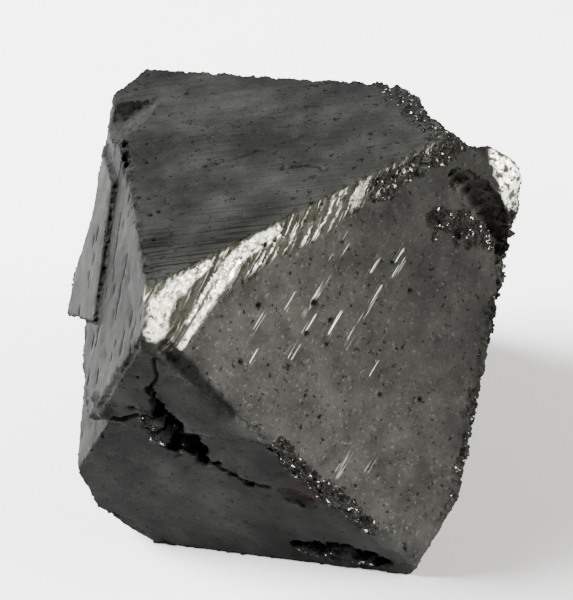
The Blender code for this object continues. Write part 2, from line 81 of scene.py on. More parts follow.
# Camera: the photo was taken from in front and above with a long lens, turned a little.
CAMERA_ELEVATION = math.radians(35.15)
CAMERA_ROLL = math.radians(10.82)
CAMERA_DISTANCE = 252.6
CAMERA_LENS_MM = 180.0
CAMERA_SENSOR_MM = 36.0
CAMERA_NEAREST_M = 0.01


def turn_of_crystal():
    top = Vector((1, 1 / AXIS_RATIO, 1)).normalized()
    level = (Vector((1, 0, 0)) - top * top.x).normalized()
    stand = Matrix((level, top.cross(level), top))
    return Matrix.Rotation(FRONT_AXIS_AZIMUTH, 3, "Z") @ stand


TURN = turn_of_crystal()


def face_normal(face):
    ends = FACES[face][0]
    return (TURN @ Vector((ends[0], ends[1] / AXIS_RATIO, ends[2]))).normalized()


def face_frame(face):
    """The face's normal, its level direction and its uphill direction."""
    normal = face_normal(face)
    if abs(normal.z) > 0.99:
        return normal, Vector((1, 0, 0)), Vector((0, 1, 0))
    along = Vector((0, 0, 1)).cross(normal).normalized()
    return normal, along, normal.cross(along)


def face_places(points, face):
    """Level place, uphill place and height above the face for each point."""
    normal, along, uphill = (np.array(v) for v in face_frame(face))
    return points @ along, points @ uphill, points @ normal - FACES[face][1]


def flat_places(points, face):
    """The pair of places on the face and the height above it for each point."""
    along, up, out = face_places(points, face)
    return np.stack([along, up], axis=1), out


def edge_depth(points, face, other):
    """How far inside the edge between two faces each point lies."""
    return -(face_places(points, face)[2] + face_places(points, other)[2])


def smoothstep(low, high, value):
    share = np.clip((value - low) / (high - low), 0.0, 1.0)
    return share * share * (3 - 2 * share)


def curve(value, knots):
    """The height of a bent line over a value. A knot is a place and the height there."""
    places, heights = zip(*knots)
    return np.interp(value, places, heights)


def from_middle(turns, middle):
    """How far each place of a repeating pattern is from the middle of its turn."""
    return np.abs(turns % 1.0 - middle)


def hashed(cells, seed):
    """A repeatable number from 0 to 1 for each whole-number cell."""
    mixed = cells[..., 0] * 73856093 ^ cells[..., 1] * 19349663 ^ cells[..., 2] * 83492791
    mixed = (mixed ^ (seed * 2654435761)) & 0xFFFFFFFF
    mixed = ((mixed ^ (mixed >> 15)) * 0x2C1B3C6D) & 0xFFFFFFFF
    mixed = ((mixed ^ (mixed >> 12)) * 0x297A2D39) & 0xFFFFFFFF
    return ((mixed ^ (mixed >> 15)) & 0xFFFFFF) / float(0x1000000)


def hashed_triple(cells, seed):
    """Three repeatable numbers from 0 to 1 for each cell."""
    return np.stack([hashed(cells, seed + k) for k in range(3)], axis=1)


def smooth_noise(points, size, seed):
    """Soft noise from -1 to 1."""
    scaled = points / size
    cell = np.floor(scaled).astype(np.int64)
    share = scaled - cell
    share = share * share * (3 - 2 * share)
    total = np.zeros(len(points))
    for corner in itertools.product((0, 1), repeat=3):
        weight = np.prod(np.where(corner, share, 1 - share), axis=1)
        total += weight * hashed(cell + np.array(corner), seed)
    return total * 2 - 1


def facets(points, size, seed):
    """Relief of small tilted flats, like a broken or finely crystallised surface."""
    steepness = 1.6
    scaled = points / size
    cell = np.floor(scaled).astype(np.int64)
    best = np.full(len(points), np.inf)
    height = np.zeros(len(points))
    for corner in itertools.product((-1, 0, 1), repeat=3):
        here = cell + np.array(corner)
        gap = scaled - (here + hashed_triple(here, seed))
        distance = (gap * gap).sum(axis=1)
        tilt = hashed_triple(here, seed + 10) - 0.5
        level = (gap * tilt).sum(axis=1) * steepness + hashed(here, seed + 20) - 0.5
        nearer = distance < best
        best = np.where(nearer, distance, best)
        height = np.where(nearer, level, height)
    return height


def pit_field(points, spacing, radius, share, seed, stretch=None):
    """Depth from 0 to 1 of small round pits scattered through space."""
    if stretch is not None:
        direction, factor = stretch
        run = points @ direction
        points = points - np.outer(run * (1 - 1 / factor), direction)
    cell = np.floor(points / spacing).astype(np.int64)
    depth = np.zeros(len(points))
    for corner in itertools.product((-1, 0, 1), repeat=3):
        here = cell + np.array(corner)
        centre = (here + hashed_triple(here, seed)) * spacing
        live = hashed(here, seed + 5) < share
        reach = radius * (0.5 + hashed(here, seed + 6))
        distance = np.linalg.norm(points - centre, axis=1)
        depth = np.maximum(depth, np.where(live, smoothstep(1.0, 0.35, distance / reach), 0.0))
    return depth


def polyline_gap(places, line):
    """Distance from each place to a bent line."""
    best = np.full(len(places), np.inf)
    for start, end in zip(line[:-1], line[1:]):
        start, end = np.array(start), np.array(end)
        step = end - start
        share = np.clip(((places - start) @ step) / (step @ step), 0, 1)
        gap = np.linalg.norm(places - start - share[:, None] * step, axis=1)
        best = np.minimum(best, gap)
    return best


# How far under its face a form reaches: it is gone at the first height and whole at the second.
REACH_UNDER_FACE = {
    "strip": (-2.6, -1.6),
    "white wear": (-2.6, -1.8),
    "streak": (-0.6, -0.2),
    "crack": (-1.6, -0.9),
    "pit": (-0.8, -0.4),
    "left pits": (-2.6, -2.0),
    "hollow": (-9.0, -7.0),
    "spark": (-2.2, -1.4),
    "top line": (-0.5, -0.1),
    "gully": (-4.2, -3.2),
    "bevel": (-1.4, -0.9),
    "scar": (-1.6, -1.0),
    "painted sheen": (-1.2, -0.5),
}


def near_face(out, form):
    """From 0 to 1, whether a point is near enough to the face for a form of the table above."""
    return smoothstep(*REACH_UNDER_FACE[form], out)


# Cracks and steps: the face, the bent line on it, its half width and its depth.
CRACKS = (
    ("left", ((-4.0, 7.6), (-0.6, 3.8), (2.2, 1.0), (5.2, -1.8), (6.2, -3.8)), 0.16, 0.22),
    ("left", ((7.0, 6.0), (8.2, 3.5), (9.6, 1.4)), 0.16, 0.2),
    ("left", ((1.0, 6.0), (3.4, 3.2), (4.6, 2.6)), 0.14, 0.2),
    ("top", ((2.3, -3.0), (3.5, -3.3), (5.2, -4.2)), 0.22, 0.3),
    ("top", ((-4.3, -0.6), (-2.4, -0.2), (-1.0, 0.0), (0.4, 0.4)), 0.16, 0.16),
    ("front_left", ((-8.8, 6.4), (-7.2, 6.2), (-5.4, 7.2), (-4.2, 7.0)), 0.3, 0.5),
    ("front_left", ((-6.2, 5.2), (-5.0, 4.8), (-3.8, 5.4)), 0.22, 0.35),
    ("front_left", ((-1.4, 1.2), (0.4, -0.4), (1.6, -1.6), (3.2, -2.0)), 0.25, 0.35),
    ("front_left", ((-1.6, 15.4), (-2.2, 12.6), (-3.4, 11.0)), 0.2, 0.3),
)


def crack_relief(points):
    """Depth of the cracks, whose lines waver a little."""
    depth = np.zeros(len(points))
    wobble = smooth_noise(points, size=0.7, seed=61) * 0.18
    for face, line, half_width, deep in CRACKS:
        places, out = flat_places(points, face)
        gap = polyline_gap(places + wobble[:, None], line)
        here = deep * smoothstep(half_width, 0.02, gap) * near_face(out, "crack")
        depth = np.maximum(depth, here)
    return depth


# Streak grooves on the front right face: middle along and up, and length.
STREAKS = (
    (-2.4, 6.2, 5.4), (-1.0, 8.0, 2.4), (-6.4, 5.6, 1.4), (-5.6, 3.2, 1.6), (-3.4, 2.2, 1.8),
    (-1.2, 1.4, 3.4), (-0.2, 1.9, 2.6), (0.8, 2.6, 1.6), (3.6, 3.7, 1.6), (1.6, 5.0, 1.2),
    (-7.6, 1.8, 1.2), (-2.6, 0.2, 1.4), (0.4, -1.2, 1.0), (-1.4, -3.0, 1.2), (-6.8, -9.0, 2.2),
    (-4.2, -10.0, 2.0), (-11.0, 3.0, 1.0), (-9.6, 5.4, 1.2), (-4.4, 4.6, 1.2), (4.0, 4.6, 0.9),
)
STREAK_ANGLE = math.radians(33)
STREAK_REACH = (0.26, 0.06)


def streak_relief(points):
    """How deep in one of the streak grooves a point is, from 0 to 1."""
    places, out = flat_places(points, "front_right")
    run = np.array((math.cos(STREAK_ANGLE), math.sin(STREAK_ANGLE)))
    depth = np.zeros(len(points))
    for middle_along, middle_up, length in STREAKS:
        middle = np.array((middle_along, middle_up))
        line = (middle - run * length / 2, middle + run * length / 2)
        depth = np.maximum(depth, smoothstep(*STREAK_REACH, polyline_gap(places, line)))
    return depth * near_face(out, "streak")


# Single pits on the front right face: along, up and radius.
PLACED_PITS = (
    (-4.5, 4.6, 0.42), (-3.7, 2.6, 0.34), (-6.1, 2.7, 0.30), (-9.2, 6.7, 0.28), (-12.3, 3.2, 0.36),
    (3.2, 4.4, 0.34), (3.9, 1.5, 0.30), (-1.7, -5.2, 0.26), (-8.0, -2.0, 0.24), (1.6, -7.4, 0.28),
)


def placed_pits(points):
    """How deep in one of the single pits a point is, from 0 to 1."""
    along, up, out = face_places(points, "front_right")
    depth = np.zeros(len(points))
    waver = 1 + 0.5 * smooth_noise(points, size=0.4, seed=63)
    for pit_along, pit_up, radius in PLACED_PITS:
        gap = np.hypot(along - pit_along, up - pit_up) * waver
        depth = np.maximum(depth, smoothstep(radius, 0.4 * radius, gap))
    return depth * near_face(out, "pit")


# The lower edge of the worn strip between the top and the front right face, on that face.
STRIP_LOWER_EDGE = (
    (-17.0, 6.4), (-13.0, 8.4), (-10.0, 9.3), (-6.0, 9.6), (-2.0, 9.3), (1.0, 9.9), (11.0, 10.1),
)

# Where the strip fades at its left and its right end, and how bright it is along its length.
STRIP_ENDS = ((-18.5, -17.0), (13.5, 12.5))
STRIP_BRIGHTNESS = ((-16.0, 1.0), (-8.0, 0.95), (-1.0, 0.8), (4.0, 0.45), (9.0, 0.3))


def strip_amount(points):
    """How far inside the worn strip a point is, from 0 to 1."""
    along, up, out = face_places(points, "front_right")
    on_side = smoothstep(-0.25, 0.35, up - curve(along, STRIP_LOWER_EDGE))
    beneath_top = smoothstep(0.05, -0.2, face_places(points, "top")[2])
    near = near_face(out, "strip") * smoothstep(*STRIP_ENDS[0], along)
    return on_side * beneath_top * near * smoothstep(*STRIP_ENDS[1], along)


# Grooves over the strip, in the streaks' direction: the height and spacing of each kind.
COARSE_GROOVES = (0.26, 0.62)
FINE_GROOVES = (0.10, 0.27)


def strip_relief(points):
    """Height of the coarse and the fine grooves over the strip, with a little grain."""
    along, up, _ = face_places(points, "front_right")
    across = up * math.cos(STREAK_ANGLE) - along * math.sin(STREAK_ANGLE)
    across = across + 0.12 * smooth_noise(points, size=1.6, seed=41)
    coarse_height, coarse_spacing = COARSE_GROOVES
    fine_height, fine_spacing = FINE_GROOVES
    coarse = coarse_height * (0.4 - from_middle(across / coarse_spacing, 0.35))
    waver = 0.3 * smooth_noise(points, size=2.0, seed=43)
    fine = fine_height * (0.25 - from_middle(across / fine_spacing + waver, 0.5))
    return coarse + fine + 0.05 * smooth_noise(points, size=0.3, seed=44)


# The brightest worn metal on the strip: the bent line along it and its half width at each end.
WHITE_WEAR = (
    (((-17.9, 8.8), (-16.7, 10.3), (-14.2, 10.9), (-11.4, 11.25)), 0.82, 0.20),
    (((-9.7, 10.7), (-12.9, 9.0), (-16.6, 6.8)), 0.34, 0.26),
    (((-9.9, 10.9), (-13.0, 9.7), (-15.4, 8.3)), 0.14, 0.10),
    (((-9.2, 10.9), (-7.3, 11.1), (-5.1, 11.2)), 0.30, 0.34),
)


def white_amount(points, normals):
    """The patches where the strip is worn to bright metal. None turns onto the left face."""
    places, out = flat_places(points, "front_right")
    waver = 1 + 0.25 * smooth_noise(points, size=0.5, seed=45)
    amount = np.zeros(len(points))
    for line, first, last in WHITE_WEAR:
        share = np.clip((places[:, 0] - line[0][0]) / (line[-1][0] - line[0][0]), 0, 1)
        reach = (first + (last - first) * share) * waver
        amount = np.maximum(amount, smoothstep(1.25, 0.8, polyline_gap(places, line) / reach))
    away = smoothstep(0.80, 0.60, normals @ np.array(face_normal("left")))
    return amount * away * near_face(out, "white wear")


# Hollows darkened with painted shade: the face, the bent line along each, its reach, and the height
# where it starts.
SHADED_HOLLOWS = (
    ("front_left", ((-3.3, 10.7), (-3.2, 7.7), (-3.0, 5.5), (-2.0, 2.9), (-1.7, 1.4)), 2.4, -0.25),
    ("front_left", ((3.8, -10.4), (7.4, -10.4), (10.9, -11.8)), 2.0, -0.25),
    ("top", ((-10.7, 5.8), (-10.8, 3.8), (-10.7, 2.0)), 0.7, 0.1),
    ("front_right", ((-17.2, 6.3), (-16.4, 5.6), (-15.6, 5.2)), 0.75, 0.1),
)

# The depth over which the painted shade of a hollow grows full.
SHADE_RIM = 0.65


def hollow_shade_amount(points):
    """How deep in one of the hollows a point is, from 0 to 1, which is how much painted shade it takes.
    """
    amount = np.zeros(len(points))
    for face, line, reach, start in SHADED_HOLLOWS:
        places, out = flat_places(points, face)
        gap = polyline_gap(places, line)
        within = smoothstep(start, start - SHADE_RIM, out) * near_face(out, "hollow")
        amount = np.maximum(amount, smoothstep(reach, 0.7 * reach, gap) * within)
    return amount


# Where small crystals glitter: the face, a bent line on it, and the reach of the patch.
SPARKS = (
    ("front_right", ((-11.4, -4.6), (-10.4, -7.6), (-9.6, -9.0)), 0.8),
    ("front_right", ((-9.3, -9.8), (-7.6, -12.6)), 0.9),
    ("front_right", ((-7.3, -13.1), (-6.2, -15.6)), 0.6),
    ("front_right", ((8.6, 5.6), (10.2, 4.4), (11.6, 2.6)), 1.5),
    ("front_right", ((4.0, 10.4), (8.0, 10.6), (12.6, 10.4)), 0.9),
    ("top", ((11.6, 6.6), (13.0, 3.4), (13.8, 0.0), (15.0, -2.8)), 1.4),
    ("front_left", ((-5.0, 6.4), (-4.4, 4.4), (-3.4, 2.4)), 0.5),
    ("front_left", ((3.6, -11.2), (7.6, -12.0), (10.6, -12.6)), 0.5),
)


def spark_amount(points):
    """Where the small crystals glitter: the patches of the table and parts of the right edge."""
    amount = np.zeros(len(points))
    waver = 1.0 + 0.5 * smooth_noise(points, size=0.9, seed=33)
    for face, line, reach in SPARKS:
        places, out = flat_places(points, face)
        gap = polyline_gap(places, line) * waver
        here = smoothstep(reach, 0.6 * reach, gap) * near_face(out, "spark")
        amount = np.maximum(amount, here)
    inside = edge_depth(points, "front_right", "back_right")
    right_edge = smoothstep(1.2, 0.5, inside * waver) * (smooth_noise(points, size=1.3, seed=34) > 0.05)
    return np.maximum(amount, right_edge)


# Granular bands: the two faces of the edge, and how wide and how strong the band is.
BANDS = (
    ("front_right", "back_right", 1.5, 1.0),
    ("top", "left", 0.8, 0.5),
    ("top", "back", 0.35, 0.4),
    ("left", "front_left", 0.5, 0.4),
    ("front_right", "front_left", 0.5, 0.45),
    ("front_left", "base", 0.4, 0.4),
    ("left", "back_left", 0.5, 0.4),
    ("back", "back_right", 1.2, 0.8),
    ("back", "back_left", 0.8, 0.6),
    ("back_right", "base", 0.7, 0.5),
    ("back_left", "base", 0.7, 0.5),
)


def band_amount(points, spark):
    """Strength from 0 to 1 of the granular bands along the edges and of the glittering patches."""
    waver = 1.0 + 0.6 * smooth_noise(points, size=2.2, seed=31)
    waver = waver + 0.3 * smooth_noise(points, size=0.8, seed=32)
    amount = np.zeros(len(points))
    for face, other, width, strength in BANDS:
        inside = edge_depth(points, face, other)
        amount = np.maximum(amount, strength * smoothstep(1.0, 0.45, inside / (width * waver)))
    return np.maximum(amount, 0.9 * spark)


# The bright facet of the lobe at the right corner: the bent line through it and its direction.
LOBE_LINE = np.array(((19.35, -2.1, 10.9), (19.9, -3.0, 9.7), (19.35, -3.6, 8.5)))
LOBE_FACING = np.array((0.45, -0.62, 0.64))


def lobe_amount(points, normals):
    """The bright facet of the lobe at the right corner."""
    gap = polyline_gap(points, LOBE_LINE) * (1 + 0.25 * smooth_noise(points, size=0.8, seed=46))
    return smoothstep(1.40, 1.05, gap) * smoothstep(0.45, 0.70, normals @ LOBE_FACING)


# The gully beside the lobe, on the front right face, where light is painted over its shaded stone.
GULLY = ((11.2, 8.1), (12.5, 5.9), (13.5, 3.2), (13.1, 0.7))


def gully_light_amount(points):
    """Where light is painted over the shaded stone of the gully."""
    places, out = flat_places(points, "front_right")
    amount = smoothstep(3.4, 2.0, polyline_gap(places, GULLY))
    return amount * (smoothstep(-0.3, -1.0, out) * near_face(out, "gully"))


# The dark bevel on the front left face, beside its edge with the front right one.
BEVEL = ((-0.6, 16.4), (0.1, 14.8), (0.8, 13.5), (1.6, 11.7), (2.1, 10.4), (2.8, 8.6))


def bevel_amount(points):
    """Where the dark bevel runs."""
    places, out = flat_places(points, "front_left")
    gap = polyline_gap(places, BEVEL) * (1 + 0.4 * smooth_noise(points, size=1.2, seed=47))
    return smoothstep(0.75, 0.40, gap) * near_face(out, "bevel")


def painted_sheen_amount(points):
    """The painted sheen of the front right face, stronger towards its left."""
    along, up, out = face_places(points, "front_right")
    return near_face(out, "painted sheen") * (0.32 + 0.68 * smoothstep(9.0, -10.0, along + 0.1 * up))


# The dished scar on the front left face: its middle and its reach.
SCAR = (6.6, -1.8)
SCAR_REACH = (2.3, 2.0)

# The knob at the left corner: its middle, its reach and its share of the brown.
KNOB = (-16.2, -13.0, 2.0)
KNOB_REACH = (2.2, 1.2)
KNOB_SHARE = 0.1


def brown_amount(points):
    """The reddish brown of the dished scar, and a trace of it on the knob."""
    along, up, out = face_places(points, "front_left")
    gap = np.hypot(along - SCAR[0], up - SCAR[1]) + 0.25 * smooth_noise(points, size=0.8, seed=71)
    scar = smoothstep(*SCAR_REACH, gap) * near_face(out, "scar")
    knob = np.linalg.norm(points - np.array(KNOB), axis=1)
    return np.maximum(scar, KNOB_SHARE * smoothstep(*KNOB_REACH, knob))


# Crust of small crystals: height, size and seed of its two kinds of facets and of its fine noise.
LARGER_FACETS = (0.20, 0.95, 101)
SMALLER_FACETS = (0.16, 0.45, 131)
CRUST_NOISE = (0.08, 0.3, 3)
CRUST_SUNK = 0.06


def granular_relief(points):
    """Height of the crust of small crystals."""
    total = np.zeros(len(points))
    for height, *kind in (LARGER_FACETS, SMALLER_FACETS):
        total += height * facets(points, *kind)
    height, *kind = CRUST_NOISE
    total += height * smooth_noise(points, *kind)
    return total - CRUST_SUNK


# Growth lines at the top face's front corner. They fade towards the right and towards the back.
TOP_LINES_FADE = ((3.0, -2.0), (-6.0, -10.0))
TOP_LINE_DEPTH = 0.05
TOP_LINE_SPACING = 0.55


def top_lines_relief(points):
    """Depth of the growth lines at the top face's front corner."""
    right, back, out = face_places(points, "top")
    amount = near_face(out, "top line") * smoothstep(*TOP_LINES_FADE[0], right)
    amount = amount * smoothstep(*TOP_LINES_FADE[1], back)
    waver = 0.25 * smooth_noise(points, size=3.0, seed=51)
    lines = from_middle(back / TOP_LINE_SPACING + waver, 0.5)
    uneven = 0.6 + 0.6 * smooth_noise(points, size=2.5, seed=52)
    return TOP_LINE_DEPTH * amount * smoothstep(0.3, 0.5, lines) * uneven


# Scattered pits: depth, spacing, radius, share of places taken, and seed.
LARGER_PITS = (0.12, 1.3, 0.17, 0.30, 201)
SMALLER_PITS = (0.08, 0.8, 0.15, 0.25, 221)
LEFT_PITS = (0.2, 0.75, 0.2, 0.42, 241)

# The left face's own pits are drawn out in a direction, as its level and its uphill part.
LEFT_PITS_RUN = (-0.47, 0.88)
LEFT_PITS_STRETCH = 3.2
ROUND_PITS_ON_LEFT = 0.4


def scattered_pits(points, on_left):
    """Depth of the small pits: round ones, and mostly drawn-out ones on the left face."""
    _, level, uphill = (np.array(v) for v in face_frame("left"))
    run = uphill * LEFT_PITS_RUN[1] + level * LEFT_PITS_RUN[0]
    run /= np.linalg.norm(run)
    round_pits = np.zeros(len(points))
    for depth, *field in (LARGER_PITS, SMALLER_PITS):
        round_pits += depth * pit_field(points, *field)
    depth, *field = LEFT_PITS
    long_pits = depth * pit_field(points, *field, stretch=(run, LEFT_PITS_STRETCH))
    return np.where(on_left, long_pits + ROUND_PITS_ON_LEFT * round_pits, round_pits)


def flat_faces(points, normals):
    """For each point, how surely it lies on a plain crystal face, and the move back onto it."""
    share = np.zeros(len(points))
    move = np.zeros_like(points)
    for face in FACES:
        normal = np.array(face_normal(face))
        facing = smoothstep(*SNAP_FACING, normals @ normal)
        for layer in LAYERS.get(face, (0.0,)):
            out = face_places(points, face)[2] - layer
            here = facing * smoothstep(*SNAP_GAP, np.abs(out))
            better = here > share
            share = np.where(better, here, share)
            move = np.where(better[:, None], -out[:, None] * normal, move)
    return share, move


# Heights of the relief, and how strongly one form shows where another one lies.
SWELL = 0.05
SINGLE_PIT_DEPTH = 0.16
STREAK_DEPTH = 0.05
ROUGH_OFF_FACES = 0.58
ROUGH_LOST_ON_STRIP = 0.5
ROUGH_LOST_ON_LOBE = 0.6
PITS_LOST_ON_STRIP = 0.8
BEVEL_DARKNESS = 0.75


def rough_amount(points, flat, strip, lobe, spark):
    """How granular the surface is at each point, from 0 to 1."""
    bands = band_amount(points, spark) * (1 - ROUGH_LOST_ON_STRIP * strip)
    rough = np.maximum(bands, ROUGH_OFF_FACES * (1 - flat))
    return np.clip(rough, 0, 1) * (1 - ROUGH_LOST_ON_LOBE * lobe)


def relief(points, normals, flat):
    """Height to move each point along its normal, and the masks that the material uses."""
    off_base = 1 - smoothstep(0.35, 0.05, points[:, 2] + FACES["base"][1]) * (normals[:, 2] < -0.9)
    strip = strip_amount(points)
    lobe = lobe_amount(points, normals)
    spark = spark_amount(points)
    rough = rough_amount(points, flat, strip, lobe, spark) * off_base
    on_left = near_face(face_places(points, "left")[2], "left pits") * flat > 0.5
    pits = scattered_pits(points, on_left) * (1 - PITS_LOST_ON_STRIP * strip)
    single = placed_pits(points)
    cracks = crack_relief(points)
    streaks = streak_relief(points)

    height = SWELL * smooth_noise(points, size=7.0, seed=1) * flat
    height += rough * granular_relief(points)
    height += strip * strip_relief(points)
    height -= top_lines_relief(points)
    height -= pits + SINGLE_PIT_DEPTH * single
    height -= cracks
    height -= STREAK_DEPTH * streaks
    height *= off_base

    # Painted shade: pits, cracks and the single pits are darkened, as the hollows are.
    pit_shade = 6.0 * np.where(on_left, pits, 0.0) + 2.2 * cracks + single
    hollow = np.maximum(hollow_shade_amount(points), np.clip(pit_shade, 0, 1))
    along = face_places(points, "front_right")[0]
    return height, {
        "rough": rough,
        "strip": strip * curve(along, STRIP_BRIGHTNESS),
        # Painted shade in the hollows, pits and cracks, with the darker bevel.
        "hollow": np.maximum(hollow, BEVEL_DARKNESS * bevel_amount(points)),
        "streak": streaks,
        "spark": spark * off_base,
        "painted_sheen": painted_sheen_amount(points),
        "gully": gully_light_amount(points),
        "lobe": lobe,
        "white": white_amount(points, normals),
    }


def arrays_of(mesh):
    """The mesh's vertices and their normals."""
    points = np.empty(len(mesh.vertices) * 3)
    mesh.vertices.foreach_get("co", points)
    normals = np.empty(len(mesh.vertices) * 3)
    mesh.vertices.foreach_get("normal", normals)
    return points.reshape(-1, 3), normals.reshape(-1, 3)


def move_vertices(mesh, points):
    mesh.vertices.foreach_set("co", points.ravel())
    mesh.update()


def applied(obj):
    """The object's mesh with its modifiers applied."""
    graph = bpy.context.evaluated_depsgraph_get()
    mesh = bpy.data.meshes.new_from_object(obj.evaluated_get(graph))
    obj.modifiers.clear()
    old = obj.data
    obj.data = mesh
    bpy.data.meshes.remove(old)
    return mesh


def write_mask(mesh, name, values):
    attribute = mesh.attributes.new(name, "FLOAT", "POINT")
    attribute.data.foreach_set("value", values.astype(np.float32))


def read_mask(mesh, name):
    values = np.empty(len(mesh.vertices), np.float32)
    mesh.attributes[name].data.foreach_get("value", values)
    return values


def drop_loose_bits(mesh):
    """Takes away everything that isn't joined to the largest part of the mesh."""
    pairs = np.empty(len(mesh.edges) * 2, np.int32)
    mesh.edges.foreach_get("vertices", pairs)
    pairs = pairs.reshape(-1, 2)
    part = np.arange(len(mesh.vertices))
    while True:
        lowest = part[pairs].min(axis=1)
        joined = part.copy()
        np.minimum.at(joined, pairs[:, 0], lowest)
        np.minimum.at(joined, pairs[:, 1], lowest)
        joined = joined[joined]
        if np.array_equal(joined, part):
            break
        part = joined
    names, counts = np.unique(part, return_counts=True)
    loose = np.flatnonzero(part != names[counts.argmax()])
    edited = bmesh.new()
    edited.from_mesh(mesh)
    edited.verts.ensure_lookup_table()
    bmesh.ops.delete(edited, geom=[edited.verts[i] for i in loose], context="VERTS")
    edited.to_mesh(mesh)
    edited.free()


def remeshed(surface):
    """The surface's mesh, made anew from small even squares."""
    remesh = surface.modifiers.new("voxels", "REMESH")
    remesh.mode = "VOXEL"
    remesh.voxel_size = VOXEL
    return applied(surface)


def thinned(surface):
    """The surface's mesh, brought down to its number of triangles."""
    thin = surface.modifiers.new("thin", "DECIMATE")
    triangles = sum(len(p.vertices) - 2 for p in surface.data.polygons)
    thin.ratio = min(1.0, SURFACE_TRIANGLES / triangles)
    return applied(surface)


def make_surface(node):
    """The visible skin of the crystal: the solid, remeshed finely and given its relief."""
    mesh = node.data.copy()
    mesh.materials.clear()
    surface = bpy.data.objects.new("crystal_surface", mesh)
    bpy.context.scene.collection.objects.link(surface)
    points, _ = arrays_of(mesh)
    move_vertices(mesh, points / MM - np.array(MIDDLE))
    mesh = remeshed(surface)

    points, normals = arrays_of(mesh)
    flat, move = flat_faces(points, normals)
    points = points + move * (flat > SNAP_FROM)[:, None]
    height, masks = relief(points, normals, flat)
    points = points + normals * height[:, None]
    points[:, 2] = np.maximum(points[:, 2], -FACES["base"][1])
    masks["brown"] = brown_amount(points)
    for name, values in masks.items():
        write_mask(mesh, name, values)
    move_vertices(mesh, points)

    mesh = thinned(surface)
    drop_loose_bits(mesh)
    points, _ = arrays_of(mesh)
    move_vertices(mesh, (points + np.array(MIDDLE)) * MM)
    mesh.shade_smooth()
    mesh.set_sharp_from_angle(angle=SHARP_ANGLE)
    return surface


def node_of(tree, kind, **values):
    """A new shader node with its settings and the values of its inputs."""
    made = tree.nodes.new(kind)
    for name, value in values.items():
        if hasattr(made, name):
            setattr(made, name, value)
        else:
            made.inputs[name.replace("_", " ")].default_value = value
    return made


def mask_node(tree, name):
    return node_of(tree, "ShaderNodeAttribute", attribute_name=name).outputs["Fac"]


def mixed_colour(tree, factor, first, second):
    """The first colour with the second one over it. A colour is four numbers or a socket."""
    mix = tree.nodes.new("ShaderNodeMix")
    mix.data_type = "RGBA"
    tree.links.new(factor, mix.inputs[0])
    for socket, value in ((mix.inputs[6], first), (mix.inputs[7], second)):
        if isinstance(value, tuple):
            socket.default_value = value
        else:
            tree.links.new(value, socket)
    return mix.outputs[2]


def ranged(tree, value, from_low, from_high, to_low, to_high):
    reach = tree.nodes.new("ShaderNodeMapRange")
    tree.links.new(value, reach.inputs[0])
    for index, number in enumerate((from_low, from_high, to_low, to_high), start=1):
        reach.inputs[index].default_value = number
    return reach.outputs[0]


def noise(tree, place, scale, detail, roughness):
    made = node_of(tree, "ShaderNodeTexNoise", Scale=scale, Detail=detail, Roughness=roughness)
    tree.links.new(place, made.inputs["Vector"])
    return made.outputs["Fac"]


def combine(tree, operation, first, second):
    made = node_of(tree, "ShaderNodeMath", operation=operation)
    for socket, value in zip(made.inputs, (first, second)):
        if isinstance(value, (int, float)):
            socket.default_value = value
        else:
            tree.links.new(value, socket)
    return made.outputs[0]


def product(tree, first, *others):
    for other in others:
        first = combine(tree, "MULTIPLY", first, other)
    return first


def level_along(tree, place, direction):
    """How far each place lies in a direction."""
    dot = node_of(tree, "ShaderNodeVectorMath", operation="DOT_PRODUCT")
    tree.links.new(place, dot.inputs[0])
    dot.inputs[1].default_value = direction
    return dot.outputs["Value"]


# Noises of the materials: the scale, detail and roughness of each.
NOISES = {
    "blotches": (0.16, 5.0, 0.6),
    "clouds": (0.42, 4.0, 0.65),
    "speckles": (2.6, 6.0, 0.75),
    "painted glint specks": (2.7, 5.0, 0.75),
    "dark specks": (1.9, 5.0, 0.7),
    "dust": (1.1, 5.0, 0.7),
    "satin": (0.5, 5.0, 0.6),
    "fine bumps": (5.5, 6.0, 0.7),
    "pores": (3.2, 3.0, 0.5),
    "grit": (9.0, 4.0, 0.6),
    "broken stripes": (1.2, 4.0, 0.7),
    "white grains": (1.8, 5.0, 0.8),
    "frost": (1.6, 4.0, 0.75),
    "grain shades": (1.4, 3.0, 0.6),
    "grain sparkle": (2.2, 2.0, 0.6),
    "grain satin": (3.0, 2.0, 0.6),
    "paper": (60.0, 3.0, 0.6),
}

# How a noise is used: its values between the first two numbers are spread over the last two.
SPREADS = {
    "blotches": (0.38, 0.66, 0.0, 1.0),
    "clouds": (0.36, 0.66, 0.0, 0.55),
    "speckles": (0.60, 0.74, 0.0, 0.55),
    "painted glint specks": (0.57, 0.70, 0.0, 0.8),
    "dark specks": (0.59, 0.65, 0.0, 0.92),
    "dust": (0.52, 0.74, 0.0, 0.45),
    "satin": (0.35, 0.7, 0.38, 0.52),
    "pores": (0.28, 0.40, 0.0, 1.0),
    "broken stripes": (0.42, 0.54, 0.08, 1.0),
    "white grains": (0.40, 0.49, 0.0, 1.0),
    "frost": (0.46, 0.54, 0.04, 0.95),
    "grain shades": (0.4, 0.65, 0.0, 1.0),
    "grain sparkle": (0.635, 0.70, 0.0, 0.9),
    "grain satin": (0.3, 0.7, 0.18, 0.42),
    "paper": (0.3, 0.7, 0.0, 1.0),
    "stripes": (0.545, 0.61, 0.0, 1.0),
    "threads": (0.54, 0.64, 0.0, 0.8),
    "top lines": (0.52, 0.60, 0.0, 0.75),
}

# Noises drawn out into lines: their fineness, length and seed.
LINE_NOISES = {
    "stripes": (0.20, 5.0, 1.0),
    "threads": (0.15, 5.0, 7.0),
    "top lines": (0.30, 7.0, 3.0),
}


def spread_noise(tree, place, name):
    return ranged(tree, noise(tree, place, *NOISES[name]), *SPREADS[name])


